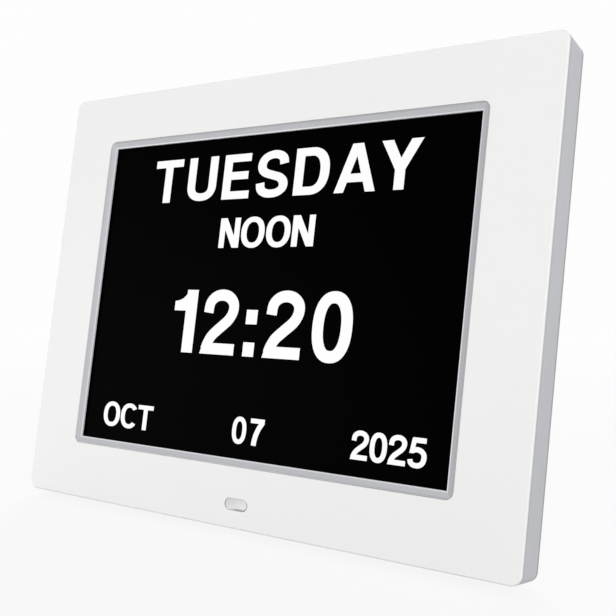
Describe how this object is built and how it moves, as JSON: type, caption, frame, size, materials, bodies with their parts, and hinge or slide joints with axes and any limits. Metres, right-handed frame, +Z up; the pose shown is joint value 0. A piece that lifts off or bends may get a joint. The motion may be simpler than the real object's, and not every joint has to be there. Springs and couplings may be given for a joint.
{
  "type": "digital day clock",
  "caption": "Free-standing digital day clock: a leaning rectangular case with a recessed display, keys on its raised back and a fold-down stand leg.",
  "frame": {"origin": "centre of the footprint on the surface that the clock stands on, with the leg opened", "axes": "+X to the right seen from the front, -Y towards the viewer, +Z up"},
  "size_m": [0.216, 0.0616, 0.1673],
  "materials": {
    "white_abs": "fine matt moulded white ABS",
    "silver_abs": "fine matt moulded silver-grey ABS",
    "trim_abs": "satin silver-grey moulded trim",
    "screw_steel": "zinc-plated steel",
    "tin_plate": "tin-plated sheet steel",
    "rubber": "matt black rubber",
    "foam": "black closed-cell foam",
    "display_glass": "black display glass with an anti-glare face",
    "diffuser_film": "white diffuser film",
    "clear_acrylic": "clear acrylic light guide",
    "led_white": "white LED packages on a strip",
    "polyimide_film": "amber flat cable",
    "socket_nylon": "natural nylon",
    "window_plastic": "pale translucent infrared window",
    "board_laminate": "green solder-masked glass laminate",
    "black_resin": "black moulded resin",
    "lead_black": "black insulated lead",
    "lead_red": "red insulated lead",
    "capacitor_sleeve": "blue capacitor sleeve",
    "contact_brass": "nickel-plated brass pin",
    "plunger_nylon": "natural nylon plunger",
    "cone_paper": "pressed black paper cone"
  },
  "bodies": {
    "case": {"front_panel": "white_abs", "mid_frame": "silver_abs", "rear_cover": "silver_abs", "case_screws": "screw_steel", "bottom_feet": "rubber", "screen_trim": "trim_abs", "screen_gasket": "foam", "lcd_bezel": "tin_plate", "lcd_glass": "display_glass", "diffuser_sheet": "diffuser_film", "light_guide": "clear_acrylic", "led_bar": "led_white", "lcd_tray": "tin_plate", "lcd_clips": "tin_plate", "clip_screws": "screw_steel", "lcd_ribbon": "polyimide_film", "ribbon_socket": "socket_nylon", "ir_window": "window_plastic", "ir_board": "board_laminate", "ir_receiver": "black_resin", "ir_screws": "screw_steel", "ir_lead": "lead_black", "main_board": "board_laminate", "board_chips": "black_resin", "board_capacitors": "capacitor_sleeve", "board_screws": "screw_steel", "cell_holder": "black_resin", "coin_cell": "tin_plate", "lead_sockets": "socket_nylon", "dc_jack": "black_resin", "dc_jack_pin": "contact_brass", "key_board": "board_laminate", "key_board_screws": "screw_steel", "key_lead": "lead_black", "switch_bodies": "black_resin", "speaker_frame": "black_resin", "speaker_cone": "cone_paper", "speaker_magnet": "tin_plate", "speaker_screws": "screw_steel", "speaker_lead": "lead_red", "hinge_pin": "screw_steel"},
    "leg": {"stand_leg": "silver_abs", "leg_pad": "rubber"},
    "power_key": {"key_power": "white_abs", "plunger_power": "plunger_nylon"},
    "menu_key": {"key_menu": "white_abs", "plunger_menu": "plunger_nylon"},
    "up_key": {"key_up": "white_abs", "plunger_up": "plunger_nylon"},
    "down_key": {"key_down": "white_abs", "plunger_down": "plunger_nylon"},
    "left_key": {"key_left": "white_abs", "plunger_left": "plunger_nylon"},
    "right_key": {"key_right": "white_abs", "plunger_right": "plunger_nylon"},
    "exit_key": {"key_exit": "white_abs", "plunger_exit": "plunger_nylon"}
  },
  "joints": [
    {"name": "leg_hinge", "type": "hinge", "parent": "case", "child": "leg", "pos_m": [0, 0.00728, 0.08772], "axis": [-1, 0, 0], "range_deg": [0, 25]},
    {"name": "power_press", "type": "slide", "parent": "case", "child": "power_key", "axis": [0, -0.9816, 0.1908], "range_m": [0, 0.0007], "stiffness_N_per_m": 400},
    {"name": "menu_press", "type": "slide", "parent": "case", "child": "menu_key", "axis": [0, -0.9816, 0.1908], "range_m": [0, 0.0007], "stiffness_N_per_m": 400},
    {"name": "up_press", "type": "slide", "parent": "case", "child": "up_key", "axis": [0, -0.9816, 0.1908], "range_m": [0, 0.0007], "stiffness_N_per_m": 400},
    {"name": "down_press", "type": "slide", "parent": "case", "child": "down_key", "axis": [0, -0.9816, 0.1908], "range_m": [0, 0.0007], "stiffness_N_per_m": 400},
    {"name": "left_press", "type": "slide", "parent": "case", "child": "left_key", "axis": [0, -0.9816, 0.1908], "range_m": [0, 0.0007], "stiffness_N_per_m": 400},
    {"name": "right_press", "type": "slide", "parent": "case", "child": "right_key", "axis": [0, -0.9816, 0.1908], "range_m": [0, 0.0007], "stiffness_N_per_m": 400},
    {"name": "exit_press", "type": "slide", "parent": "case", "child": "exit_key", "axis": [0, -0.9816, 0.1908], "range_m": [0, 0.0007], "stiffness_N_per_m": 400}
  ]
}
